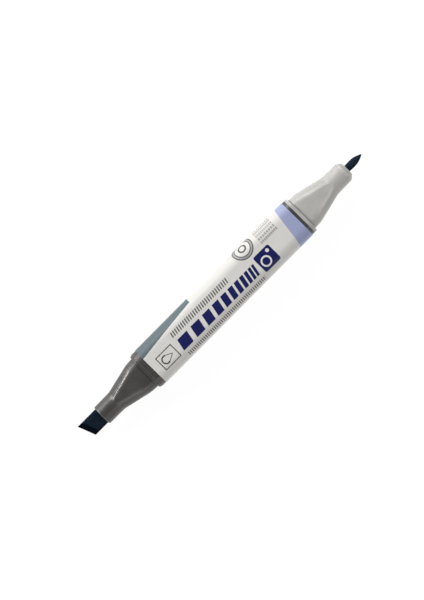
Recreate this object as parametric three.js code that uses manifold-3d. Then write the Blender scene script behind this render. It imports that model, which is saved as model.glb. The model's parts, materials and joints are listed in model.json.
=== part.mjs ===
// A twin-tip alcohol marker without its caps: a square barrel with rounded corners, a printed
// film label, a moulded front pressed into each end, a broad chisel nib, a fine bullet nib, and
// the film-wrapped fibre reservoir that feeds both nibs.
//
// Millimetres, +Z up. The marker lies on a flat side with its axis along X, the broad nib
// towards -X and the fine nib towards +X. The origin is below the middle of the overall length,
// on the surface that the marker lies on.

import * as THREE from "three";
import { mergeVertices } from "three/addons/utils/BufferGeometryUtils.js";
import Module from "manifold-3d";

const wasm = await Module();
wasm.setup();

// ---- Driving dimensions, with x measured along the axis from the middle of the barrel ----

const SEGMENTS = 48; // facets round every section
const SPARE = 1; // how far a cutting tool runs past what it cuts
const BARREL = { halfLength: 36.37, half: 7.35, corner: 4.2, wall: 1.2, edge: 0.15 };
const LABEL = { from: -34.2, to: 35.25, gap: 0.02, thickness: 0.13 };
const SPIGOT = { length: 6.5, clearance: 0.1, wall: 1.1, chamfer: 0.35 };
const SEAL_BEAD = { height: 0.07, width: 0.7, places: [4.4, 1.9] };
const CAVITY = { wall: 1.15, throatGap: 0.3, lead: 1 };
const GUIDE_LENGTH = 9; // the bore that holds a nib, from the mouth inwards
const VENT = { width: 0.7, depth: 0.3, overlap: 0.5 };
const RIB = { count: 4, thickness: 0.8, from: 1.5, sunk: 0.5, nibGap: 0.4 };
const RUNNING_GAP = 0.05; // between a nib and whatever it slides in
const FEED_DEPTH = 5.5; // how far each nib reaches into the fibre

// The outer shape of a front, from its flange to its mouth. Places are distances outwards from
// the shoulder that the cap's rim meets. A flare's outline is its half width at each place. Its
// section is a circle cut by four flat facets. A facet keeps its half width as far as the place
// where it starts to narrow, and narrows evenly to its tip at the flare's end. The ridges between
// the facets then drop to the neck, where the round nozzle starts.
const BROAD_FRONT = {
  flange: { half: 7.1, thickness: 0.65, edge: 0.2 },
  flare: [
    [0, 6.4], [1.3, 6.36], [2.6, 6.26], [3.8, 6.08], [8.2, 5.06], [12.1, 4.15], [13.05, 3.92],
  ],
  facet: { half: 3.85, narrows: 3.8, tip: 1.35 },
  neck: { place: 13.6, half: 3.83 },
  nozzleEnd: 3.79,
  mouth: { place: 20.65, half: 3.55, chamfer: 0.25 },
};
const FINE_FRONT = {
  flange: { half: 7.4, thickness: 1.05, edge: 0.2 },
  flare: [
    [0, 6.5], [1.8, 6.49], [2.8, 6.42], [3.8, 6.25], [7.8, 5.32], [12.3, 4.21], [13.1, 4.03],
  ],
  facet: { half: 3.85, narrows: 3.6, tip: 1.6 },
  neck: { place: 13.7, half: 3.91 },
  nozzleEnd: 3.83,
  mouth: { place: 21.75, half: 2.55, chamfer: 1.45 },
};

const BROAD_NIB = {
  halfWidth: 3.12, halfThickness: 1.8, corner: 1.0, tail: 0.4,
  tip: 66.05, slant: 2.4, edge: 0.25, bevel: 2.1,
};
// The fine nib's point is its half width at each distance back from the tip, behind a round nose.
const FINE_NIB = {
  shaft: 1.3, belly: 1.38, tail: 0.3, root: 0.1, swell: 2.2, tip: 66.05,
  point: [[3.6, 1.36], [2.9, 1.29], [2.4, 1.17], [1.4, 0.8], [0.4, 0.35]],
  nose: { radius: 0.28, slope: 0.4, steps: 3 },
};
const RESERVOIR = { film: 5.95, filmThickness: 0.1, filmGap: 0.02, endGap: 0.2 };

// ---- Sections and lofts ----

const circle = (r) => ({ a: r, b: r, r });
const square = (half, corner) => ({ a: half, b: half, r: corner });
// A circle cut by four flats, which are at a distance of half and 2 * facet wide.
const faceted = (half, facet) => ({ a: half, b: half, round: Math.hypot(half, facet) });

// Distance from the axis to a section: a rounded rectangle of half sizes a and b and corner
// radius r, or a circle of radius round cut down to those half sizes.
function reach({ a, b, r, round }, angle) {
  const c = Math.abs(Math.cos(angle));
  const s = Math.abs(Math.sin(angle));
  if (round) return Math.min(round, a / c, b / s);
  const flatA = a - r;
  const flatB = b - r;
  if (a * s <= flatB * c) return a / c;
  if (b * c <= flatA * s) return b / s;
  const along = flatA * c + flatB * s;
  return along + Math.sqrt(Math.max(0, along * along - flatA * flatA - flatB * flatB + r * r));
}

// A closed skin through sections [x, section]. It starts and ends on the axis with section null,
// or comes back to its first section for a tube. LatheGeometry gives the mesh, and each of its
// vertices then moves out to the section's own outline.
function loft(sections) {
  const outline = sections.map(([x, s]) => new THREE.Vector2(s ? s.a : 0, x));
  const geometry = new THREE.LatheGeometry(outline, SEGMENTS);
  const position = geometry.getAttribute("position");
  for (let i = 0; i < position.count; i++) {
    const [x, section] = sections[i % sections.length];
    const angle = (2 * Math.PI * Math.floor(i / sections.length)) / SEGMENTS;
    const distance = section ? reach(section, angle) : 0;
    position.setXYZ(i, x, distance * Math.cos(angle), distance * Math.sin(angle));
  }
  return geometry;
}

// ---- Booleans ----

function solidOf(geometry) {
  const bare = geometry.clone();
  bare.deleteAttribute("normal");
  bare.deleteAttribute("uv");
  const merged = mergeVertices(bare, 1e-4);
  return new wasm.Manifold(
    new wasm.Mesh({
      numProp: 3,
      vertProperties: merged.getAttribute("position").array,
      triVerts: new Uint32Array(merged.index.array),
    }),
  );
}

function geometryOf(solid) {
  const mesh = solid.getMesh();
  const geometry = new THREE.BufferGeometry();
  geometry.setAttribute("position", new THREE.BufferAttribute(mesh.vertProperties, 3));
  geometry.setIndex(new THREE.BufferAttribute(mesh.triVerts, 1));
  geometry.computeVertexNormals();
  return geometry;
}

function boxBetween(low, high) {
  const size = high.map((v, i) => v - low[i]);
  const middle = high.map((v, i) => (v + low[i]) / 2);
  return new THREE.BoxGeometry(...size).translate(...middle);
}

// ---- Materials ----

function plastic(color, roughness) {
  return new THREE.MeshStandardMaterial({ color, roughness, metalness: 0 });
}
const darkPlastic = plastic(0x3a3937, 0.42);
const lightPlastic = plastic(0xb9b8b3, 0.38);
const labelFilm = plastic(0xdedcd7, 0.3);
const inkedFibre = plastic(0x141d28, 0.85);
const reservoirFibre = plastic(0x2c4a5c, 0.95);
const clearFilm = plastic(0xcfd6da, 0.15);

function node(name, geometry, material) {
  const mesh = new THREE.Mesh(geometry, material);
  mesh.name = name;
  return mesh;
}

// ---- Barrel and label ----

function barrel() {
  const { halfLength: end, half, corner, wall, edge } = BARREL;
  const outer = square(half, corner);
  const outerEdge = square(half - edge, corner - edge);
  const bore = square(half - wall, corner - wall);
  const boreEdge = square(half - wall + edge, corner - wall + edge);
  return loft([
    [-end, boreEdge], [-end, outerEdge], [-end + edge, outer],
    [end - edge, outer], [end, outerEdge], [end, boreEdge],
    [end - edge, bore], [-end + edge, bore], [-end, boreEdge],
  ]);
}

// A rounded square outline with nothing but its four corner arcs between straight sides.
function roundedSquare(path, half, corner) {
  const middle = half - corner;
  const quarter = Math.PI / 2;
  path.absarc(middle, middle, corner, 0, quarter);
  path.absarc(-middle, middle, corner, quarter, 2 * quarter);
  path.absarc(-middle, -middle, corner, 2 * quarter, 3 * quarter);
  path.absarc(middle, -middle, corner, 3 * quarter, 4 * quarter);
  path.closePath();
  return path;
}

// The label is extruded, so that each of its flats is one plain face from end to end.
function labelWrap() {
  const { from, to, gap, thickness } = LABEL;
  const half = BARREL.half + gap;
  const corner = BARREL.corner + gap;
  const sheet = roundedSquare(new THREE.Shape(), half + thickness, corner + thickness);
  sheet.holes.push(roundedSquare(new THREE.Path(), half, corner));
  const settings = { depth: to - from, bevelEnabled: false, curveSegments: SEGMENTS / 8 };
  return new THREE.ExtrudeGeometry(sheet, settings).rotateY(Math.PI / 2).translate(from, 0, 0);
}

// ---- Fronts ----

const boreHalf = BARREL.half - BARREL.wall;
const boreCorner = BARREL.corner - BARREL.wall;

// The half width of a front's facets at a place along its flare.
function facetAt(front, place) {
  const { half, narrows, tip } = front.facet;
  const end = front.flare.at(-1)[0];
  const left = Math.min(1, (end - place) / (end - narrows));
  return tip + (half - tip) * left;
}

function spigotOutside(front) {
  const root = -front.flange.thickness;
  const half = boreHalf - SPIGOT.clearance;
  const corner = boreCorner - SPIGOT.clearance;
  const plain = square(half, corner);
  const bead = square(half + SEAL_BEAD.height, corner + SEAL_BEAD.height);
  const nose = square(half - SPIGOT.chamfer, corner - SPIGOT.chamfer);
  const tail = root - SPIGOT.length;
  const sections = [[tail, nose], [tail + SPIGOT.chamfer, plain]];
  const side = SEAL_BEAD.width / 2;
  for (const place of SEAL_BEAD.places) {
    const middle = root - place;
    sections.push([middle - side, plain], [middle, bead], [middle + side, plain]);
  }
  sections.push([root, plain]);
  return sections;
}

function flangeOutside(front) {
  const { half, thickness, edge } = front.flange;
  const corner = (half * BARREL.corner) / BARREL.half;
  return [
    [-thickness, square(half, corner)],
    [-edge, square(half, corner)],
    [0, square(half - edge, corner - edge)],
  ];
}

function nozzleOutside(front) {
  const { neck, nozzleEnd } = front;
  const { place, half, chamfer } = front.mouth;
  return [
    [neck.place, circle(neck.half)], [place - chamfer, circle(nozzleEnd)], [place, circle(half)],
  ];
}

// The inside of a front, from its mouth back to the end of its spigot.
function frontInside(front, guide) {
  const mouth = front.mouth.place;
  const root = -front.flange.thickness;
  const guideEnd = mouth - GUIDE_LENGTH;
  const throat = circle(Math.max(guide.a, guide.b) + CAVITY.throatGap);
  const spigotHalf = boreHalf - SPIGOT.clearance - SPIGOT.wall;
  const spigotBore = square(spigotHalf, boreCorner);
  const sections = [[mouth, guide], [guideEnd, guide], [guideEnd, throat]];
  for (const [place, half] of [...front.flare].reverse()) {
    if (place > guideEnd - CAVITY.lead) continue;
    const inner = Math.max(Math.min(half - CAVITY.wall, spigotHalf), throat.r);
    const corner = Math.max(half - facetAt(front, place) - CAVITY.wall / 2, boreCorner);
    sections.push([place, square(inner, Math.min(inner, corner))]);
  }
  sections.push([root, spigotBore], [root - SPIGOT.length, spigotBore]);
  return sections;
}

// Ribs stand on the inside of the flare between its facets, and leave the nib's way clear.
function frontRibs(front, guide) {
  const from = RIB.from;
  const to = front.mouth.place - GUIDE_LENGTH + RIB.sunk;
  const half = RIB.thickness / 2;
  const clear = Math.max(guide.a, guide.b) + RIB.nibGap;
  const ribs = [];
  for (let i = 0; i < RIB.count; i++) {
    const rib = boxBetween([from, -half, clear], [to, half, 2 * BARREL.half]);
    ribs.push(solidOf(rib.rotateX(((i + 0.5) * 2 * Math.PI) / RIB.count)));
  }
  return ribs;
}

// Grooves along the guide let air reach the reservoir as ink leaves it.
function ventGrooves(front, guide) {
  const from = front.mouth.place - GUIDE_LENGTH - SPARE;
  const to = front.mouth.place + SPARE;
  const half = VENT.width / 2;
  const low = guide.b - VENT.overlap;
  const high = guide.b + VENT.depth;
  const above = boxBetween([from, -half, low], [to, half, high]);
  const below = boxBetween([from, -half, -high], [to, half, -low]);
  return [solidOf(above), solidOf(below)];
}

// A front with its shoulder at x = 0 and its mouth towards +X.
function frontShell(front, guide) {
  const flare = front.flare.map(([place, half]) => [place, faceted(half, facetAt(front, place))]);
  const outside = [
    ...spigotOutside(front), ...flangeOutside(front), ...flare, ...nozzleOutside(front),
  ];
  const [tail] = outside[0];
  const [mouth] = outside.at(-1);
  const filled = solidOf(loft([[tail, null], ...outside, [mouth, null]]));
  let shell = solidOf(loft([...outside, ...frontInside(front, guide), outside[0]]));
  for (const rib of frontRibs(front, guide)) {
    shell = shell.add(rib.intersect(filled));
  }
  for (const groove of ventGrooves(front, guide)) {
    shell = shell.subtract(groove);
  }
  return shell;
}

const broadGuide = {
  a: BROAD_NIB.halfWidth + RUNNING_GAP,
  b: BROAD_NIB.halfThickness + RUNNING_GAP,
  r: BROAD_NIB.corner + RUNNING_GAP,
};
const fineGuide = circle(FINE_NIB.shaft + RUNNING_GAP);

const shoulderOf = (front) => BARREL.halfLength + front.flange.thickness;
const mouthOf = (front) => shoulderOf(front) + front.mouth.place;

function broadFront() {
  const shell = frontShell(BROAD_FRONT, broadGuide);
  return geometryOf(shell).rotateZ(Math.PI).translate(-shoulderOf(BROAD_FRONT), 0, 0);
}

function fineFront() {
  const shell = frontShell(FINE_FRONT, fineGuide);
  return geometryOf(shell).translate(shoulderOf(FINE_FRONT), 0, 0);
}

// ---- Ink system ----

const reservoirEnd = BARREL.halfLength - SPIGOT.length - RESERVOIR.endGap;
const nibTail = reservoirEnd - FEED_DEPTH;

// A bar of constant section with a chamfered tail, cut at the tip to a wedge whose edge slants
// across the nib. The tip is towards -X and its leading corner towards +Y.
function broadNib() {
  const { halfWidth, halfThickness, corner, tail, tip, slant, edge, bevel } = BROAD_NIB;
  const section = { a: halfWidth, b: halfThickness, r: corner };
  const tailSection = { a: halfWidth - tail, b: halfThickness - tail, r: corner - tail };
  const barStart = -tip - SPARE;
  const bar = loft([
    [barStart, null], [barStart, section], [-nibTail - tail, section],
    [-nibTail, tailSection], [-nibTail, null],
  ]);

  // The wedge's outline lies in its own XY plane, sharp end at the origin, twice the bevel's depth.
  const turn = Math.atan2(slant, 2 * halfWidth);
  const shoulder = 2 * bevel * Math.cos(turn);
  const thick = edge + 2 * (halfThickness - edge);
  const back = tip;
  const outline = new THREE.Shape([
    new THREE.Vector2(0, -edge), new THREE.Vector2(shoulder, -thick), new THREE.Vector2(back, -thick),
    new THREE.Vector2(back, thick), new THREE.Vector2(shoulder, thick), new THREE.Vector2(0, edge),
  ]);
  const width = tip;
  const wedge = new THREE.ExtrudeGeometry(outline, { depth: width, bevelEnabled: false });
  wedge.translate(0, 0, -width / 2).rotateX(Math.PI / 2).rotateZ(turn);
  wedge.translate(-tip + slant / 2, 0, 0);
  return geometryOf(solidOf(bar).intersect(solidOf(wedge)));
}

// A round nib with a slight belly outside the mouth and a pointed, round-nosed tip.
function fineNib() {
  const { shaft, belly, tail, root, swell, tip, point, nose } = FINE_NIB;
  const mouth = mouthOf(FINE_FRONT);
  const sections = [
    [nibTail, null], [nibTail, circle(shaft - tail)], [nibTail + tail, circle(shaft)],
    [mouth + root, circle(shaft)], [mouth + swell, circle(belly)],
  ];
  for (const [back, half] of point) {
    sections.push([tip - back, circle(half)]);
  }
  for (let i = 0; i < nose.steps; i++) {
    const angle = nose.slope + (i / nose.steps) * (Math.PI / 2 - nose.slope);
    const x = tip - nose.radius * (1 - Math.sin(angle));
    sections.push([x, circle(nose.radius * Math.cos(angle))]);
  }
  sections.push([tip, null]);
  return loft(sections);
}

function inkReservoir() {
  const rod = circle(RESERVOIR.film - RESERVOIR.filmThickness - RESERVOIR.filmGap);
  const pocketEnd = nibTail - RUNNING_GAP;
  return loft([
    [-pocketEnd, null], [-pocketEnd, broadGuide], [-reservoirEnd, broadGuide], [-reservoirEnd, rod],
    [reservoirEnd, rod], [reservoirEnd, fineGuide], [pocketEnd, fineGuide], [pocketEnd, null],
  ]);
}

function reservoirFilm() {
  const outer = circle(RESERVOIR.film);
  const inner = circle(RESERVOIR.film - RESERVOIR.filmThickness);
  const end = reservoirEnd;
  return loft([[-end, inner], [-end, outer], [end, outer], [end, inner], [-end, inner]]);
}

// ---- Assembly ----

const labelHalf = BARREL.half + LABEL.gap + LABEL.thickness;
const marker = new THREE.Group();
marker.position.set((BROAD_NIB.tip - FINE_NIB.tip) / 2, 0, labelHalf);
marker.add(
  node("barrel", barrel(), darkPlastic),
  node("label_wrap", labelWrap(), labelFilm),
  node("broad_front", broadFront(), darkPlastic),
  node("fine_front", fineFront(), lightPlastic),
  node("broad_nib", broadNib(), inkedFibre),
  node("fine_nib", fineNib(), inkedFibre),
  node("ink_reservoir", inkReservoir(), reservoirFibre),
  node("reservoir_film", reservoirFilm(), clearFilm),
);

const part = new THREE.Group();
part.add(marker);

export default part;
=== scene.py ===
import json
import math

import bmesh
import bpy
import numpy as np
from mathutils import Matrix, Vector
from mathutils.bvhtree import BVHTree


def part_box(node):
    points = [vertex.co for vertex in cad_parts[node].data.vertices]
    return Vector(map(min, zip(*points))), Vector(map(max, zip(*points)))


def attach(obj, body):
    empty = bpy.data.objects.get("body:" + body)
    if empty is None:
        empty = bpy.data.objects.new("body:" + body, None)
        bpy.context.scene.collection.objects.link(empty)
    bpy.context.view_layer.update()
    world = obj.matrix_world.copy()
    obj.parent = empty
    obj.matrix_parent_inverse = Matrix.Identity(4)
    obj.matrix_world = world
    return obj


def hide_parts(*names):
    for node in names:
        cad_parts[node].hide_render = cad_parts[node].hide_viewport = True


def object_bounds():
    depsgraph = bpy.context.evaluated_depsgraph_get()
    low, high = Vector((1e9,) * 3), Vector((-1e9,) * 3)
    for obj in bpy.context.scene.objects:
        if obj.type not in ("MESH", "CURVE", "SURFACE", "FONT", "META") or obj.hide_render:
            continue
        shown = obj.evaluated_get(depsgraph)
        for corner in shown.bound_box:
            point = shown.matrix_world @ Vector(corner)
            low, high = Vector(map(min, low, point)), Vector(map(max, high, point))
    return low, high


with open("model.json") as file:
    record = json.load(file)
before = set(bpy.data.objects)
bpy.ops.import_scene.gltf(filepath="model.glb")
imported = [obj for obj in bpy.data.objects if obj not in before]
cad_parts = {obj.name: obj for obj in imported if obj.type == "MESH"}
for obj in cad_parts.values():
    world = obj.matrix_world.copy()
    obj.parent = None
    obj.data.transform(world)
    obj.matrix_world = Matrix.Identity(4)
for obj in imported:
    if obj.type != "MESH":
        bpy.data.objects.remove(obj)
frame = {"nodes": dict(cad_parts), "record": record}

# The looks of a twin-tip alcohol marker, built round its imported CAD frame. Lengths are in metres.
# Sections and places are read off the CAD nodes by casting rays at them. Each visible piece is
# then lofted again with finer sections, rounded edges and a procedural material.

CAD_LOW, CAD_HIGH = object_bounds()
MM = 0.001
SEGMENTS = 160  # round a smooth section
FAR = 0.05  # where a measuring ray starts, outside every node
AXIS_Z = (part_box("barrel")[0].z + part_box("barrel")[1].z) / 2

# A front's flare. Distances d along a front run outwards from its shoulder.
FLARE_STEP = 0.2 * MM  # between two sections
FLAT_EASE, RIDGE_EASE = 3, 7  # how many sections each way its flats and ridges are eased over
SOFT_CREASE, CREASE_EASE = (3.4 * MM, 8.5 * MM), (0.16, 0.09)  # d, and the angle a rounding takes
CRISP_CREASE = 0.3  # a crease nearer than this angle to a flat's middle is rounded less
LEAST_CREASE = 0.14  # nearer than this, the sections' points stop following a crease

# Rubbing wear and painted highlights on a front's creases, painted shade by its shoulder, and a
# darker collar.
CREASE_HIGHLIGHT_FROM, CREASE_HIGHLIGHT_FULL = 3.5 * MM, 7 * MM  # d where a crease's painted highlight and rubbed smoothness start, and where they are full
CREASE_HIGHLIGHT_WIDTH = 1.6  # how wide a crease's painted highlight is, as a multiple of its rounding
SHADE_REACH = 0.8 * MM  # how far the painted shade of the shoulder's step reaches along a seat from the shoulder
COLLAR_DARKENING = 0.3  # how much of the darker colour a flange takes on

# A front's collar and its inside. All but the fillets, the lip and the rim repeat the CAD's own
# measures.
SPIGOT_CHAMFER = 0.35 * MM
FLANGE_BACK_FILLET, FLANGE_FRONT_FILLET, SEAT_FILLET = 0.12 * MM, 0.22 * MM, 0.1 * MM
SPIGOT_WALL, THROAT_GAP, GUIDE_LENGTH = 1.1 * MM, 0.3 * MM, 9 * MM
GUIDE_LIP, RIM_WIDTH = 0.12 * MM, 0.3 * MM
VENT_HALF, VENT_DEPTH = 0.35 * MM, 0.3 * MM

# The chisel nib's section, the fine nib's guide and the gap round the chisel nib in its guide
# repeat the CAD's too.
BROAD_WIDE, BROAD_THICK, BROAD_CORNER = 3.12 * MM, 1.8 * MM, 1.0 * MM
FINE_BORE = 1.35 * MM
RUNNING_GAP = 0.05 * MM


# ---- Measuring the CAD nodes ----

def tree_of(node):
    mesh = frame["nodes"][node].data
    corners = [v.co for v in mesh.vertices]
    return BVHTree.FromPolygons(corners, [p.vertices for p in mesh.polygons])


TREES = {name: tree_of(name) for name in frame["nodes"]}


def skin_distance(node, x, angle):
    """Distance from the axis to a node's outer skin at x, in the direction angle from +Y."""
    outwards = Vector((0, math.cos(angle), math.sin(angle)))
    centre = Vector((x, 0, AXIS_Z))
    hit = TREES[node].ray_cast(centre + outwards * FAR, -outwards)[0]
    return (hit - centre).length


def section_of(node, x):
    """Half width and corner radius of a node's rounded square outer skin at x."""
    half = skin_distance(node, x, 0)
    diagonal = skin_distance(node, x, math.pi / 4)
    corner = (half * math.sqrt(2) - diagonal) / (math.sqrt(2) - 1)
    return half, corner


def facets_of(node, x):
    """Half width and full radius of a node's outer skin at x, where it is a circle cut by flats."""
    return skin_distance(node, x, 0), skin_distance(node, x, math.pi / 4)


def mount_x(name):
    return next(m["pos_m"][0] for m in frame["record"]["mounts"] if m["name"] == name)


# ---- Sections ----

ANGLES = np.arange(SEGMENTS) * 2 * math.pi / SEGMENTS


def rectangle(half_y, half_z, corner, angles=ANGLES):
    """Distances from the axis to a rounded rectangle, one for each angle."""
    c, s = np.abs(np.cos(angles)), np.abs(np.sin(angles))
    flat_y, flat_z = half_y - corner, half_z - corner
    along = flat_y * c + flat_z * s
    inside = along * along - flat_y ** 2 - flat_z ** 2 + corner ** 2
    rounded = along + np.sqrt(np.maximum(inside, 0))
    side = half_y / np.maximum(c, 1e-9)
    cap = half_z / np.maximum(s, 1e-9)
    beside_side = np.where(half_z * c <= flat_y * s, cap, rounded)
    return np.where(half_y * s <= flat_z * c, side, beside_side)


def square(half, corner, angles=ANGLES):
    return rectangle(half, half, corner, angles)


def circle(radius, angles=ANGLES):
    return np.full(len(angles), radius)


def octants(values):
    """Angles round the axis that repeat those from 0 to an eighth of a turn, mirrored."""
    quarter = np.concatenate([values, math.pi / 2 - values[-2:0:-1]])
    return np.concatenate([quarter + i * math.pi / 2 for i in range(4)])


def crease_angles(crease, ease):
    """Angles round a section with four flats, close together at the creases beside the flats.
    Ease is half the angle that a crease's rounding takes up."""
    diagonal, clear = math.pi / 4, 1.4 * ease
    across = np.linspace(0, crease - clear, 7)
    fillet = crease + ease * np.linspace(-1, 1, 9)
    beyond = np.linspace(min(crease + clear, 0.9 * diagonal), diagonal, 10)
    return octants(np.concatenate([across, fillet, beyond]))


def faceted(half, radius, ease, angles):
    """Distances from the axis to a circle cut by four flats, with rounded creases."""
    nearest = np.maximum(np.abs(np.cos(angles)), np.abs(np.sin(angles)))
    flat = half / nearest
    crease = math.acos(min(half / radius, 1))
    blend = max(radius * math.tan(crease) * ease, 1e-9)
    overlap = np.maximum(blend - np.abs(flat - radius), 0)
    return np.minimum(flat, radius) - overlap ** 2 / (4 * blend)


def crease_highlight(angles, crease, ease):
    """1 at the creases of a section and 0 away from them, where creases get a painted highlight."""
    folded = np.abs((angles + math.pi / 4) % (math.pi / 2) - math.pi / 4)
    return np.maximum(1 - np.abs(folded - crease) / ease, 0)


def ring(x, distances, angles=ANGLES):
    """Points round the axis at x."""
    return np.column_stack([
        np.broadcast_to(x, distances.shape),
        distances * np.cos(angles),
        AXIS_Z + distances * np.sin(angles),
    ])


def rounded(outline):
    """Sections (x, distances, mark) through an outline's (x, distances, fillet), with a curve in
    place of each corner that has a fillet. A convex corner's curve gets a mark that the material
    paints paler and smoother: wear and a painted highlight."""
    steps = 5
    points = [np.concatenate([[x], distances]) for x, distances, _ in outline]
    result = [(points[0], 0)]
    for i in range(1, len(points) - 1):
        before, here, after = points[i - 1], points[i], points[i + 1]
        fillet = outline[i][2]
        if not fillet:
            result.append((here, 0))
            continue
        start = here + (before - here) * fillet / np.linalg.norm((before - here)[:2])
        end = here + (after - here) * fillet / np.linalg.norm((after - here)[:2])
        convex = here[1] > (start[1] + end[1]) / 2
        for t in np.linspace(0, 1, steps):
            curve = (1 - t) ** 2 * start + 2 * t * (1 - t) * here + t ** 2 * end
            result.append((curve, 4 * t * (1 - t) if convex else 0))
    result.append((points[-1], 0))
    return [(p[0], p[1:], wear_and_light) for p, wear_and_light in result]


# ---- Meshes ----

def new_piece(name, bm, body, replaced, sharp=35):
    """Makes a mesh piece from bm that rides on a body and stands for a CAD node."""
    bmesh.ops.recalc_face_normals(bm, faces=bm.faces)
    mesh = bpy.data.meshes.new(name)
    bm.to_mesh(mesh)
    bm.free()
    mesh.shade_smooth()
    mesh.set_sharp_from_angle(angle=math.radians(sharp))
    piece = bpy.data.objects.new(name, mesh)
    bpy.context.scene.collection.objects.link(piece)
    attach(piece, body)
    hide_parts(replaced)
    return piece


def skin(rings, closed=False, wear_and_light=None):
    """A bmesh through rings of points. Closed joins the last ring to the first; otherwise each
    end is a flat cap. The mark is one value, or one for each point, for every ring: above 0 the
    material paints wear and a painted highlight, below 0 painted shade by a shoulder and a darker
    collar."""
    bm = bmesh.new()
    wear_and_light_attr = bm.verts.layers.float.new("wear_and_light_attr")
    loops = [[bm.verts.new(p) for p in points] for points in rings]
    if wear_and_light is not None:
        for loop, values in zip(loops, wear_and_light):
            for vert, value in zip(loop, np.broadcast_to(values, len(loop))):
                vert[wear_and_light_attr] = value
    pairs = list(zip(loops, loops[1:]))
    if closed:
        pairs.append((loops[-1], loops[0]))
    for a, b in pairs:
        count = len(a)
        for i in range(count):
            j = (i + 1) % count
            bm.faces.new((a[i], a[j], b[j], b[i]))
    if not closed:
        bm.faces.new(loops[0])
        bm.faces.new(loops[-1])
    return bm


# ---- Material nodes ----

class Shader:
    """A material under construction, with short forms of the nodes that it needs."""

    def __init__(self, name):
        self.material = bpy.data.materials.new(name)
        self.material.use_nodes = True
        self.nodes = self.material.node_tree.nodes
        self.links = self.material.node_tree.links
        self.surface = self.nodes["Principled BSDF"]

    def set(self, **values):
        for name, value in values.items():
            self.surface.inputs[name.replace("_", " ")].default_value = value

    def feed(self, value, socket):
        if isinstance(value, bpy.types.NodeSocket):
            self.links.new(value, socket)
        else:
            socket.default_value = value

    def math(self, operation, *values, clamp=False):
        node = self.nodes.new("ShaderNodeMath")
        node.operation = operation
        node.use_clamp = clamp
        for value, socket in zip(values, node.inputs):
            self.feed(value, socket)
        return node.outputs[0]

    def mix(self, share, a, b):
        node = self.nodes.new("ShaderNodeMix")
        node.data_type = "RGBA"
        self.feed(share, node.inputs["Factor"])
        self.feed(a, node.inputs[6])
        self.feed(b, node.inputs[7])
        return node.outputs[2]

    def place(self, scale=(1, 1, 1)):
        """Object coordinates, which are the row frame's, stretched by scale."""
        source = self.nodes.new("ShaderNodeTexCoord").outputs["Object"]
        mapping = self.nodes.new("ShaderNodeMapping")
        mapping.inputs["Scale"].default_value = scale
        self.links.new(source, mapping.inputs["Vector"])
        return mapping.outputs["Vector"]

    def attribute(self, name):
        node = self.nodes.new("ShaderNodeAttribute")
        node.attribute_name = name
        return node.outputs

    def noise(self, size, detail, stretch=(1, 1, 1), roughness=0.5):
        node = self.nodes.new("ShaderNodeTexNoise")
        node.inputs["Scale"].default_value = 1 / size
        node.inputs["Detail"].default_value = detail
        node.inputs["Roughness"].default_value = roughness
        self.links.new(self.place(stretch), node.inputs["Vector"])
        return node.outputs["Fac"]

    def spread(self, value, low, high):
        """A noise value, 0.3 to 0.7 for the most part, spread from low to high."""
        node = self.nodes.new("ShaderNodeMapRange")
        self.feed(value, node.inputs["Value"])
        node.inputs["From Min"].default_value = 0.3
        node.inputs["From Max"].default_value = 0.7
        node.inputs["To Min"].default_value = low
        node.inputs["To Max"].default_value = high
        return node.outputs["Result"]

    def bump(self, height, distance, strength, under=None):
        node = self.nodes.new("ShaderNodeBump")
        node.inputs["Distance"].default_value = distance
        node.inputs["Strength"].default_value = strength
        self.feed(height, node.inputs["Height"])
        if under is not None:
            self.links.new(under, node.inputs["Normal"])
        return node.outputs["Normal"]

    def finish(self, **links):
        for name, value in links.items():
            self.links.new(value, self.surface.inputs[name.replace("_", " ")])
        return self.material


def srgb(red, green, blue):
    """A linear colour from an 8-bit display colour."""
    return tuple((v / 255) ** 2.2 for v in (red, green, blue)) + (1.0,)


def moulded_plastic(name, base, flowed, rubbed_highlight, darkened, ior, roughness):
    """Fine spark-eroded moulding texture, faint flow mottling and slightly uneven gloss. Where
    the mark read below is above 0, an edge is rubbed smoother and painted paler: wear and a
    painted highlight. Where it is below 0, it is painted darker: painted shade by a shoulder, and a
    darker collar."""
    s = Shader(name)
    s.set(IOR=ior)
    mottle = s.spread(s.noise(3 * MM, 3), 0, 1)
    grain = s.noise(0.11 * MM, 2)
    waviness = s.noise(1.6 * MM, 1)
    fine = s.bump(grain, 0.012 * MM, 0.55)
    normal = s.bump(waviness, 0.01 * MM, 0.5, under=fine)
    wear_and_light_attr, patches = s.attribute("wear_and_light_attr")["Fac"], s.spread(s.noise(0.9 * MM, 2), 0.65, 1)
    # Above 0 the mark is painted paler and made smoother: rubbing wear and a painted highlight.
    wear_and_light = s.math("MULTIPLY", wear_and_light_attr, patches, clamp=True)
    # Below 0 the mark is painted darker: painted shade by a shoulder, and a darker collar.
    darkening = s.math("MULTIPLY", s.math("MULTIPLY", wear_and_light_attr, -1.0), patches, clamp=True)
    gloss = s.spread(mottle, roughness - 0.02, roughness + 0.03)
    rough = s.math("ADD", s.spread(grain, -0.05, 0.05), s.math("MULTIPLY_ADD", wear_and_light, -0.18, gloss))
    colour = s.mix(darkening, s.mix(wear_and_light, s.mix(mottle, base, flowed), rubbed_highlight), darkened)
    return s.finish(Base_Color=colour, Roughness=rough, Normal=normal)


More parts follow.
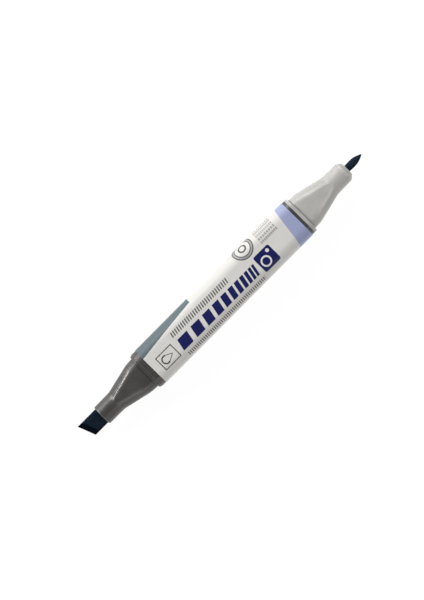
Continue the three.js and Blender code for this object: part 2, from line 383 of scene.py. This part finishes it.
def ink_fibre(name, base, light, ink_tone_and_cut_shade):
    """Bonded fibre drawn along the axis and soaked in ink, painted darkest on its cut faces as
    painted shade.
    """
    s = Shader(name)
    s.set(IOR=1.4, Specular_IOR_Level=0.005)
    strands = s.noise(0.12 * MM, 3, stretch=(0.06, 1, 1), roughness=0.6)
    blotch = s.noise(1.3 * MM, 2)
    dry = s.math("MULTIPLY", s.spread(strands, 0.2, 1), s.spread(blotch, 0.6, 1))
    colour = s.mix(s.attribute("ink_tone_and_cut_shade")["Fac"], s.mix(dry, base, light), ink_tone_and_cut_shade)
    return s.finish(
        Base_Color=colour, Roughness=s.spread(blotch, 0.65, 0.85),
        Normal=s.bump(strands, 0.03 * MM, 0.8),
    )


# Each plastic's rubbed colour paints highlights on creases and edges; its darkened colour paints
# shade by a shoulder and darkens a collar.
DARK_PLASTIC = moulded_plastic(
    "dark_plastic", base=srgb(59, 57, 55), flowed=srgb(63, 61, 59), rubbed_highlight=srgb(100, 98, 95),
    darkened=srgb(36, 35, 34), ior=1.65, roughness=0.32,
)
LIGHT_PLASTIC = moulded_plastic(
    "light_plastic", base=srgb(168, 167, 163), flowed=srgb(173, 171, 167),
    rubbed_highlight=srgb(194, 193, 189), darkened=srgb(148, 147, 144), ior=1.48, roughness=0.3,
)
# The nib's darkest colour paints shade on the chisel's cut faces.
NIB_FIBRE = ink_fibre(
    "nib_fibre", base=srgb(22, 33, 43), light=srgb(40, 53, 63), ink_tone_and_cut_shade=srgb(17, 22, 30),
)
RESERVOIR_FIBRE = ink_fibre(
    "reservoir_fibre", base=srgb(40, 66, 84), light=srgb(70, 100, 118), ink_tone_and_cut_shade=srgb(20, 30, 40),
)


def clear_film():
    s = Shader("clear_film")
    s.set(IOR=1.5, Alpha=0.35)
    return s.finish(
        Base_Color=s.mix(s.noise(2 * MM, 2), srgb(205, 212, 216), srgb(225, 230, 233)),
        Roughness=s.spread(s.noise(0.8 * MM, 2), 0.12, 0.25),
    )


# ---- The label's print ----

LABEL_FROM, LABEL_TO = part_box("label_wrap")[0].x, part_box("label_wrap")[1].x
LABEL_HALF, LABEL_CORNER = section_of("label_wrap", 0)
LABEL_FLAT = LABEL_HALF - LABEL_CORNER
LABEL_ROUND = 8 * LABEL_FLAT + 2 * math.pi * LABEL_CORNER
SIDE_MIDDLE = LABEL_ROUND / 4  # v at the middle of the +Y side
SOFT = 0.03 * MM  # how far the edge of a printed colour bleeds
LEAN = 0.2  # how far slanted marks lean towards the fine end, as a share of their height
INKED = 0.7  # the share of its pitch that a mark fills


class Print(Shader):
    """The label's film with plain generic graphics printed on it. Its masks are worked out in
    unrolled coordinates: u along the axis from the middle, v round the barrel from the middle of
    the top flat towards +Y."""

    def __init__(self):
        super().__init__("printed_film")
        source = self.nodes.new("ShaderNodeAttribute")
        source.attribute_name = "unrolled"
        split = self.nodes.new("ShaderNodeSeparateXYZ")
        self.links.new(source.outputs["Vector"], split.inputs["Vector"])
        self.u, self.v = split.outputs["X"], split.outputs["Y"]

    def inside(self, distance):
        """1 where a signed distance is negative, 0 where it is positive."""
        return self.math("MULTIPLY_ADD", distance, -1 / SOFT, 0.5, clamp=True)

    def slanted(self, lean, about):
        """u sheared so that upright marks lean, without moving them at v = about."""
        away = self.math("SUBTRACT", self.v, about)
        return self.math("MULTIPLY_ADD", away, -lean, self.u)

    def beyond(self, value, middle, half):
        """How far a value lies outside middle - half to middle + half."""
        away = self.math("ABSOLUTE", self.math("SUBTRACT", value, middle))
        return self.math("SUBTRACT", away, half)

    def box(self, u, low, high, corner=0.0):
        """Signed distance to a box between the corners low and high, with rounded corners."""
        across = self.beyond(u, (low[0] + high[0]) / 2, (high[0] - low[0]) / 2 - corner)
        up = self.beyond(self.v, (low[1] + high[1]) / 2, (high[1] - low[1]) / 2 - corner)
        if not corner:
            return self.math("MAXIMUM", across, up)
        a, b = self.math("MAXIMUM", across, 0.0), self.math("MAXIMUM", up, 0.0)
        square_sum = self.math("MULTIPLY_ADD", a, a, self.math("MULTIPLY", b, b))
        return self.math("SUBTRACT", self.math("SQRT", square_sum), corner)

    def away_from(self, u, v):
        """Distance from the point u, v."""
        a, b = self.math("SUBTRACT", self.u, u), self.math("SUBTRACT", self.v, v)
        return self.math("SQRT", self.math("MULTIPLY_ADD", a, a, self.math("MULTIPLY", b, b)))

    def disc(self, u, v, radius):
        return self.math("SUBTRACT", self.away_from(u, v), radius)

    def outline(self, distance, width):
        """Signed distance to a line of that width, just inside a shape's edge."""
        from_middle = self.math("ABSOLUTE", self.math("ADD", distance, width / 2))
        return self.math("SUBTRACT", from_middle, width / 2)

    def either(self, *distances):
        result = distances[0]
        for distance in distances[1:]:
            result = self.math("MINIMUM", result, distance)
        return result

    def both(self, a, b):
        return self.math("MAXIMUM", a, b)

    def ticks(self, u, low, high, pitch, width):
        """A row of marks between two corners."""
        turns = self.math("MULTIPLY_ADD", u, 1 / pitch, -low[0] / pitch)
        phase = self.math("FRACT", turns)
        from_middle = self.math("ABSOLUTE", self.math("SUBTRACT", phase, 0.5))
        mark = self.math("MULTIPLY_ADD", from_middle, pitch, -width / 2)
        return self.both(mark, self.box(u, low, high))


def mm_pair(u, v):
    return (u * MM, v * MM)


def ink_panel(p):
    """The ink's colour covers the +Y side at the broad end, between two slanted edges."""
    end, edge, slant = -9.84 * MM, 3.48 * MM, 0.112
    taper = p.math("MULTIPLY_ADD", p.u, slant, edge - SIDE_MIDDLE - slant * LABEL_FROM)
    from_side = p.math("ABSOLUTE", p.math("SUBTRACT", p.v, SIDE_MIDDLE))
    return p.both(p.math("ADD", from_side, taper), p.math("SUBTRACT", p.u, end))


def end_band(p):
    """A band round the fine end, with a slanted edge that closes on itself behind."""
    edge, slant = 30.73 * MM, 0.137
    folded = p.math("PINGPONG", p.math("ADD", p.v, 5 * SIDE_MIDDLE), LABEL_ROUND / 2)
    slope = p.math("MULTIPLY_ADD", folded, slant, edge - slant * SIDE_MIDDLE)
    return p.math("SUBTRACT", slope, p.u)


def stroke_gauge(p):
    """A gauge of slanted strokes from broad to fine, each narrower than the last by one factor."""
    low, high = mm_pair(-22.1, -4.25), mm_pair(14.15, -0.05)
    strokes, shrink = 11, 0.86
    first = (high[0] - low[0]) * (1 - shrink) / (1 - shrink ** strokes)
    u = p.slanted(LEAN, (low[1] + high[1]) / 2)
    fall = (1 - shrink) / first
    share = p.math("MULTIPLY_ADD", u, -fall, 1 + low[0] * fall)
    count = p.math("LOGARITHM", p.math("MAXIMUM", share, 1e-4), shrink)
    stroke = p.math("MULTIPLY", p.math("SUBTRACT", p.math("FRACT", count), INKED), first)
    return p.both(p.math("MULTIPLY", stroke, share), p.box(u, low, high))


def scales(p):
    """A slanted scale above the gauge, and an upright one below it."""
    low, high = mm_pair(-22.25, 1.35), mm_pair(4.25, 3.3)
    above = p.ticks(p.slanted(LEAN, 2.3 * MM), low, high, 0.95 * MM, 0.42 * MM)
    low, high = mm_pair(-22.25, -7.4), mm_pair(14.05, -5.6)
    return p.either(above, p.ticks(p.u, low, high, 0.8 * MM, 0.36 * MM))


def framed_drop(p):
    """The outline of a drop that points at the fine end, in a border."""
    border = p.outline(p.box(p.u, mm_pair(-31.4, -4.75), mm_pair(-24.2, 0.75)), 0.34 * MM)
    u, v, radius = -28.9 * MM, -2.0 * MM, 1.6 * MM
    steepness, reach = 1.8, 2.04
    ahead = p.math("SUBTRACT", p.u, u)
    aside = p.math("ABSOLUTE", p.math("SUBTRACT", p.v, v))
    cone = p.math("ADD", p.math("MULTIPLY", aside, steepness), ahead)
    tip = p.both(p.math("SUBTRACT", cone, reach * radius), p.math("MULTIPLY", ahead, -1.0))
    drop = p.either(p.disc(u, v, radius), p.both(tip, p.beyond(p.v, v, radius)))
    return p.either(border, p.outline(drop, 0.5 * MM))


def target_rings(p, rings):
    """Rings round one point, each with a radius and a width in millimetres."""
    u, v = mm_pair(15.1, 6.4)
    return p.either(*(p.outline(p.disc(u, v, r * MM), width * MM) for r, width in rings))


def mark_rows(p):
    """Rows of small marks beside the target, each with a height and a pitch in millimetres."""
    left, right, tall = 20.9, 28.5, 0.95
    rows = ((2.4, 0.76), (3.8, 0.95), (5.2, 0.76), (6.6, 0.5), (8.0, 0.95))
    return p.either(*(
        p.ticks(p.u, mm_pair(left, v), mm_pair(right, v + tall), pitch * MM, pitch * INKED * MM)
        for v, pitch in rows
    ))


def printed_film():
    """A generic print: an ink panel and a band, a gauge that runs from broad to fine between two
    scales, a tile with a ring and a dot, a framed drop, a ringed target and rows of marks."""
    p = Print()
    p.set(IOR=1.5, Specular_IOR_Level=0.42)
    tile = p.box(p.u, mm_pair(15.3, -5.5), mm_pair(22.3, 1.2), corner=0.7 * MM)
    tile_ring = p.outline(p.disc(18.0 * MM, -2.6 * MM, 1.95 * MM), 0.6 * MM)
    tile_dot = p.disc(20.7 * MM, -0.2 * MM, 0.65 * MM)
    lines = target_rings(p, ((4.15, 0.36), (3.15, 0.3), (1.6, 0.6)))
    between = target_rings(p, ((4.0, 1.0),))

    # Each layer is printed over the ones before it.
    mottle = p.noise(1.2 * MM, 3)
    colour = p.mix(mottle, srgb(198, 196, 191), srgb(204, 202, 198))
    for distance, ink in (
        (ink_panel(p), srgb(82, 96, 100)),
        (end_band(p), srgb(144, 151, 183)),
        (p.either(between, mark_rows(p)), srgb(146, 146, 145)),
        (p.either(scales(p), framed_drop(p), lines), srgb(70, 71, 72)),
        (p.either(stroke_gauge(p), tile), srgb(14, 22, 80)),
        (p.either(tile_ring, tile_dot), srgb(208, 207, 204)),
    ):
        colour = p.mix(p.inside(distance), colour, ink)

    fine = p.bump(p.noise(0.09 * MM, 2), 0.006 * MM, 0.5)
    normal = p.bump(p.noise(2.5 * MM, 1), 0.02 * MM, 0.5, under=fine)
    return p.finish(Base_Color=colour, Roughness=p.spread(mottle, 0.34, 0.42), Normal=normal)


# ---- Pieces ----

def assign(piece, material):
    piece.data.materials.clear()
    piece.data.materials.append(material)


def barrel():
    low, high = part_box("barrel")
    half, corner = section_of("barrel", 0)
    wall, edge = 1.2 * MM, 0.2 * MM  # the wall repeats the CAD's
    start, end = low.x, high.x
    outside, inside = square(half, corner), square(half - wall, corner - wall)
    middle = (outside + inside) / 2
    sections = rounded([
        (start, middle, 0),
        (start, outside, edge), (end, outside, edge), (end, inside, edge), (start, inside, edge),
        (start, middle, 0),
    ])[:-1]
    rings = [ring(x, distances) for x, distances, _ in sections]
    bm = skin(rings, closed=True, wear_and_light=[wear_and_light for _, _, wear_and_light in sections])
    piece = new_piece("barrel_tube", bm, "body", "barrel")
    assign(piece, DARK_PLASTIC)


def around_label(s):
    """The angle and distance from the axis at arc length s round the label, from the middle of
    the top flat towards +Y."""
    side = LABEL_ROUND / 4
    quarter = round(s / side)
    t = s - quarter * side
    turned = max(abs(t) - LABEL_FLAT, 0) / LABEL_CORNER
    sign = 1 if t >= 0 else -1
    across = sign * (min(abs(t), LABEL_FLAT) + LABEL_CORNER * math.sin(turned))
    up = LABEL_FLAT + LABEL_CORNER * math.cos(turned)
    angle = math.atan2(up, across) - quarter * math.pi / 2
    return angle, math.hypot(across, up)


def label():
    """One sheet wrapped round the barrel, with its seam low on the -Y side. The sheet starts a
    little deeper than it ends, so that the seam is a fine step."""
    seam = -0.32 * LABEL_ROUND
    thickness, step, lead = 0.12 * MM, 0.045 * MM, 5 * MM
    columns = 240
    places = np.linspace(seam, seam + LABEL_ROUND, columns)
    xs = np.linspace(LABEL_FROM, LABEL_TO, 29)
    bm = bmesh.new()
    unrolled = bm.verts.layers.float_vector.new("unrolled")

    def sheet(depth):
        rows = []
        for s in places:
            angle, distance = around_label(s)
            sunk = depth + step * max(0, 1 - (s - seam) / lead) ** 2
            distance -= sunk
            v = (s + LABEL_ROUND / 2) % LABEL_ROUND - LABEL_ROUND / 2
            row = []
            for x in xs:
                y, z = distance * math.cos(angle), AXIS_Z + distance * math.sin(angle)
                vert = bm.verts.new((x, y, z))
                vert[unrolled] = (x, v, 0)
                row.append(vert)
            rows.append(row)
        return rows

    outer, inner = sheet(0), sheet(thickness)
    last = len(xs) - 1
    for rows in (outer, inner):
        for a, b in zip(rows, rows[1:]):
            for i in range(last):
                bm.faces.new((a[i], a[i + 1], b[i + 1], b[i]))
    for end in (0, last):
        for i in range(columns - 1):
            bm.faces.new((outer[i][end], outer[i + 1][end], inner[i + 1][end], inner[i][end]))
    for edge in (0, -1):
        for i in range(last):
            bm.faces.new((outer[edge][i], outer[edge][i + 1], inner[edge][i + 1], inner[edge][i]))
    piece = new_piece("label", bm, "body", "label_wrap")
    assign(piece, printed_film())


def smoothed(values, reach):
    """Values averaged with up to reach neighbours each way, with the ends kept."""
    weights = reach + 1 - np.abs(np.arange(-reach, reach + 1))
    padded = np.pad(values, reach, mode="reflect", reflect_type="odd")
    return np.convolve(padded, weights / weights.sum(), mode="valid")


def flare_sections(node, shoulder, outwards, end):
    """Sections (d, distances, wear, angles) of a flare, from a seat cut by four flats to a round
    nozzle."""
    places = np.arange(FLARE_STEP / 2, end, FLARE_STEP)
    halves, radii = zip(*(facets_of(node, shoulder + d * outwards) for d in places))
    sections = []
    for d, half, radius in zip(places, smoothed(halves, FLAT_EASE), smoothed(radii, RIDGE_EASE)):
        radius = max(radius, half)
        crease = math.acos(min(half / radius, 1))
        crispness = min(crease / CRISP_CREASE, 1)
        ease = np.interp(d, SOFT_CREASE, CREASE_EASE) * crispness
        angles = crease_angles(max(crease, LEAST_CREASE), ease)
        rubbed_highlight = np.interp(d, (CREASE_HIGHLIGHT_FROM, CREASE_HIGHLIGHT_FULL), (0, 1)) * crispness
        # A painted shade darkens the seat beside the shoulder's step.
        darkening = max(1 - d / SHADE_REACH, 0)
        # Creases are painted paler, a painted highlight, and rubbed smoother; the seat by the
        # shoulder is painted darker.
        wear_and_light = crease_highlight(angles, crease, CREASE_HIGHLIGHT_WIDTH * ease) * rubbed_highlight - darkening
        sections.append((d, faceted(half, radius, ease, angles), wear_and_light, angles))
    return sections


def front(name, node, material, shoulder, guide_of, mouth_points):
    """A front from its spigot to its mouth, with a guide bore, vents and a cavity. Mouth points
    are (distance back from the mouth, radius, fillet), from the nozzle to the rim."""
    low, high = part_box(node)
    outwards = 1 if shoulder > 0 else -1
    mouth_x, tail_x = (high.x, low.x) if outwards > 0 else (low.x, high.x)
    mouth, tail = (mouth_x - shoulder) * outwards, (tail_x - shoulder) * outwards
    barrel_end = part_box("barrel")[1 if outwards > 0 else 0].x
    back = (barrel_end - shoulder) * outwards

    flare = flare_sections(node, shoulder, outwards, mouth - mouth_points[0][0] - FLARE_STEP)
    seat_at, seat, _, first = flare[0]
    neck_at, neck, _, last = flare[-1]

    # The spigot, the flange and the step down to the seat.
    spigot, spigot_corner = section_of(node, shoulder + (tail + 1 * MM) * outwards)
    flange, flange_corner = section_of(node, shoulder + back / 2 * outwards)
    narrowed = square(spigot - SPIGOT_CHAMFER, spigot_corner - SPIGOT_CHAMFER, first)
    plug, collar = square(spigot, spigot_corner, first), square(flange, flange_corner, first)
    base = [
        (tail, narrowed, 0), (tail + SPIGOT_CHAMFER, plug, 0), (back, plug, 0),
        (back, collar, FLANGE_BACK_FILLET), (0, collar, FLANGE_FRONT_FILLET),
        (0, seat, SEAT_FILLET), (seat_at, seat, 0),
    ]
    sections = []
    for d, distances, wear_and_light in rounded(base)[:-1]:
        # The collar, from the barrel's end to the seat, is darkened by a share of the darker
        # colour.
        darker_collar = COLLAR_DARKENING if d >= back - SPIGOT_CHAMFER / 2 else 0
        sections.append((d, distances, wear_and_light - darker_collar, first))
    sections += flare

    # The nozzle and its mouth.
    rim = mouth_points[-1][1]
    nose = [(mouth - behind, circle(r, last), fillet) for behind, r, fillet in mouth_points]
    nose = [(neck_at, neck, 0), *nose, (mouth, circle(rim - RIM_WIDTH, last), 0)]
    sections += [(*section, last) for section in rounded(nose)[1:]]

    # The inside, from the mouth back to the end of the spigot.
    guide = guide_of(last)
    guide_end = mouth - GUIDE_LENGTH
    throat = circle(guide.max() + THROAT_GAP, last)
    cavity = square(spigot - SPIGOT_WALL, spigot_corner, first)
    inside = [
        (mouth, guide + GUIDE_LIP, last), (mouth - GUIDE_LIP, guide, last),
        (guide_end, guide, last), (guide_end, throat, last),
        (0, cavity, first), (tail, cavity, first),
    ]
    sections += [(d, distances, 0, angles) for d, distances, angles in inside]

    rings = [
        ring(shoulder + d * outwards, distances, angles) for d, distances, _, angles in sections
    ]
    bm = skin(rings, closed=True, wear_and_light=[wear_and_light for _, _, wear_and_light, _ in sections])
    piece = new_piece(name, bm, "body", node, sharp=50)
    assign(piece, material)


def with_vents(hole, half_height, angles):
    """A guide's outline with a vent groove above and below."""
    groove = rectangle(VENT_HALF, half_height + VENT_DEPTH, 0, angles)
    return np.maximum(hole, groove)


def broad_guide(angles):
    wide, thick, corner = (v + RUNNING_GAP for v in (BROAD_WIDE, BROAD_THICK, BROAD_CORNER))
    return with_vents(rectangle(wide, thick, corner, angles), thick, angles)


def fine_guide(angles):
    return with_vents(circle(FINE_BORE, angles), FINE_BORE, angles)


def fronts():
    front(
        "broad_nozzle", "broad_front", DARK_PLASTIC, mount_x("broad_cap_seat"),
        broad_guide,
        [(0.6 * MM, 3.79 * MM, 0), (0.22 * MM, 3.79 * MM, 0.18 * MM), (0, 3.57 * MM, 0.14 * MM)],
    )
    front(
        "fine_nozzle", "fine_front", LIGHT_PLASTIC, mount_x("fine_cap_seat"),
        fine_guide,
        [(1.9 * MM, 3.83 * MM, 0), (1.45 * MM, 3.83 * MM, 0.3 * MM), (0, 2.55 * MM, 0.15 * MM)],
    )


def fine_nib():
    """The nib's measured outline, turned round the axis."""
    low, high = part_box("fine_nib")
    tip, tail = high.x, low.x
    nose, chamfer_length, chamfer = 0.3 * MM, 0.4 * MM, 0.3 * MM
    xs = list(np.linspace(tail + chamfer_length, tip - nose, 150))
    measured = [skin_distance("fine_nib", x, 0) for x in xs]

    # The CAD's steps are smoothed away, and the end keeps its measured taper.
    reach = 3
    window = np.ones(2 * reach + 1) / (2 * reach + 1)
    radii = list(np.convolve(np.pad(measured, reach, mode="edge"), window, mode="valid"))
    radii[-reach:] = measured[-reach:]
    end_radius = radii[-1]
    for t in np.linspace(0.2, 0.97, 6):
        angle = t * math.pi / 2
        xs.append(tip - nose + nose * math.sin(angle))
        radii.append(end_radius * math.cos(angle))
    rings = [ring(tail, circle(radii[0] - chamfer))]
    rings += [ring(x, circle(r)) for x, r in zip(xs, radii)]
    piece = new_piece("bullet_nib", skin(rings), "fine_nib", "fine_nib")
    assign(piece, NIB_FIBRE)


def broad_nib():
    """A bar of fibre cut to a slanted wedge, with a bevel on each flat. The cuts repeat the
    CAD's."""
    low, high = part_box("broad_nib")
    tip, tail = low.x, high.x
    slant, edge, bevel, chamfer = 2.4 * MM, 0.25 * MM, 2.1 * MM, 0.4 * MM
    bar = rectangle(BROAD_WIDE, BROAD_THICK, BROAD_CORNER)
    end = rectangle(BROAD_WIDE - chamfer, BROAD_THICK - chamfer, BROAD_CORNER - chamfer)
    uncut_tip = tip - 1 * MM
    bm = skin([ring(uncut_tip, bar), ring(tail - chamfer, bar), ring(tail, end)])
    turn = math.atan2(slant, 2 * BROAD_WIDE)
    forward = Vector((-math.cos(turn), -math.sin(turn), 0))
    corner = Vector((tip, BROAD_WIDE, AXIS_Z))
    slope = math.atan2(BROAD_THICK - edge, bevel * math.cos(turn))
    cuts = [(corner, forward)]
    for up in (1, -1):
        normal = forward * math.sin(slope) + Vector((0, 0, up * math.cos(slope)))
        cuts.append((corner + Vector((0, 0, up * edge)), normal))
    for point, normal in cuts:
        geometry = bm.verts[:] + bm.edges[:] + bm.faces[:]
        sliced = bmesh.ops.bisect_plane(
            bm, geom=geometry, plane_co=point, plane_no=normal, clear_outer=True,
        )
        rim = [g for g in sliced["geom_cut"] if isinstance(g, bmesh.types.BMEdge)]
        bmesh.ops.contextual_create(bm, geom=rim)

    # A loop of points close behind the cuts keeps their colour to the cuts.
    cut_shade_depth, touching, ink_tone_elsewhere = 0.08 * MM, 0.01 * MM, 0.45
    ink_tone_and_cut_shade = bm.verts.layers.float.new("ink_tone_and_cut_shade")
    for point, normal in cuts:
        bmesh.ops.bisect_plane(
            bm, geom=bm.verts[:] + bm.edges[:] + bm.faces[:],
            plane_co=point - normal * cut_shade_depth, plane_no=normal,
        )
    # The cut faces take the darkest colour, a painted shade of the steep cuts; the rest of the nib
    # takes part of it as its tone.
    for vert in bm.verts:
        on_cut = any(abs((vert.co - point).dot(normal)) < touching for point, normal in cuts)
        vert[ink_tone_and_cut_shade] = 1 if on_cut else ink_tone_elsewhere
    piece = new_piece("chisel_nib", bm, "broad_nib", "broad_nib", sharp=30)
    assign(piece, NIB_FIBRE)


def hidden_pieces():
    """The reservoir and its film keep their CAD shape."""
    assign(frame["nodes"]["ink_reservoir"], RESERVOIR_FIBRE)
    assign(frame["nodes"]["reservoir_film"], clear_film())


# ---- Stage ----

def floor():
    bm = bmesh.new()
    bmesh.ops.create_grid(bm, x_segments=1, y_segments=1, size=3)
    mesh = bpy.data.meshes.new("floor")
    bm.to_mesh(mesh)
    bm.free()
    stage = bpy.data.objects.new("floor", mesh)
    stage.location.z = CAD_LOW.z - 0.02 * MM
    bpy.context.scene.collection.objects.link(stage)
    s = Shader("pale_floor")
    s.set(Base_Color=srgb(90, 90, 90), Roughness=0.9, Specular_IOR_Level=0.0)
    s.set(Emission_Color=(1, 1, 1, 1), Emission_Strength=0.94)
    stage.data.materials.append(s.material)


def softbox(name, tilt, azimuth, away, size, radiance):
    """A rectangular lamp that faces the marker, tilted down from overhead, towards an azimuth
    from +Y to +X in degrees."""
    light = bpy.data.lights.new(name, "AREA")
    light.shape = "RECTANGLE"
    light.size, light.size_y = size
    light.energy = radiance * math.pi * size[0] * size[1]
    lamp = bpy.data.objects.new(name, light)
    t, a = math.radians(tilt), math.radians(azimuth)
    towards = Vector((math.sin(t) * math.sin(a), math.sin(t) * math.cos(a), math.cos(t)))
    lamp.location = towards * away
    lamp.rotation_euler = (-towards).to_track_quat("-Z", "Y").to_euler()
    bpy.context.scene.collection.objects.link(lamp)


def gradient(nodes, links, value, start, end):
    """A smooth blend from 0 to 1 as a value runs from start to end."""
    fade = nodes.new("ShaderNodeMapRange")
    fade.interpolation_type = "SMOOTHSTEP"
    fade.inputs["From Min"].default_value = start
    fade.inputs["From Max"].default_value = end
    links.new(value, fade.inputs["Value"])
    return fade.outputs["Result"]


def surroundings():
    """A grey room, lighter on the -Y side. It is dark within the inner angle of straight overhead,
    and keeps its own brightness beyond the outer angle."""
    overhead, behind, ahead, inner, outer = 0.18, 0.7, 0.1, 26, 46
    world = bpy.data.worlds.new("studio")
    world.use_nodes = True
    nodes, links = world.node_tree.nodes, world.node_tree.links
    split = nodes.new("ShaderNodeSeparateXYZ")
    links.new(nodes.new("ShaderNodeTexCoord").outputs["Generated"], split.inputs["Vector"])
    across = gradient(nodes, links, split.outputs["Y"], -0.4, 0.4)
    edges = [math.cos(math.radians(angle)) for angle in (outer, inner)]
    above = gradient(nodes, links, split.outputs["Z"], *edges)
    walls = nodes.new("ShaderNodeMix")
    walls.inputs[2].default_value, walls.inputs[3].default_value = behind, ahead
    links.new(across, walls.inputs["Factor"])
    whole = nodes.new("ShaderNodeMix")
    whole.inputs[3].default_value = overhead
    links.new(above, whole.inputs["Factor"])
    links.new(walls.outputs[0], whole.inputs[2])
    links.new(whole.outputs[0], nodes["Background"].inputs["Strength"])
    nodes["Background"].inputs["Color"].default_value = (1, 1, 1, 1)
    bpy.context.scene.world = world


def lights():
    """A wide low key light on the +Y side, a low and a high lamp towards each end on that side,
    and weak lamps on the -Y side. The high lamps are those that the flares' creases reflect."""
    surroundings()
    side, small, back = (0.26, 0.44), (0.22, 0.22), (0.26, 0.3)
    softbox("key", tilt=70, azimuth=0, away=0.85, size=(0.6, 0.56), radiance=2.25)
    softbox("broad_low", tilt=66, azimuth=-26, away=0.8, size=side, radiance=6.6)
    softbox("fine_low", tilt=66, azimuth=26, away=0.8, size=side, radiance=5.7)
    softbox("broad_high", tilt=51, azimuth=-42, away=0.8, size=small, radiance=14)
    softbox("fine_high", tilt=48, azimuth=42, away=0.8, size=small, radiance=7)
    softbox("broad_back", tilt=54, azimuth=-150, away=0.8, size=back, radiance=1.3)
    softbox("fine_back", tilt=54, azimuth=150, away=0.8, size=back, radiance=1.6)


def camera():
    """Straight above the marker, turned so that the marker runs up to the right."""
    data = bpy.data.cameras.new("camera")
    data.lens, data.sensor_width = 180, 36
    frame_height, look_x, look_y, turned = 201.6 * MM, -4.01 * MM, 1.11 * MM, 45.21
    view = bpy.data.objects.new("camera", data)
    view.location = (look_x, look_y, AXIS_Z + data.lens * frame_height / data.sensor_width)
    view.rotation_euler = (0, 0, -math.radians(turned))
    bpy.context.scene.collection.objects.link(view)
    bpy.context.scene.camera = view


camera()
barrel()
label()
fronts()
fine_nib()
broad_nib()
hidden_pieces()
floor()
lights()
bpy.context.scene.view_settings.view_transform = "Standard"
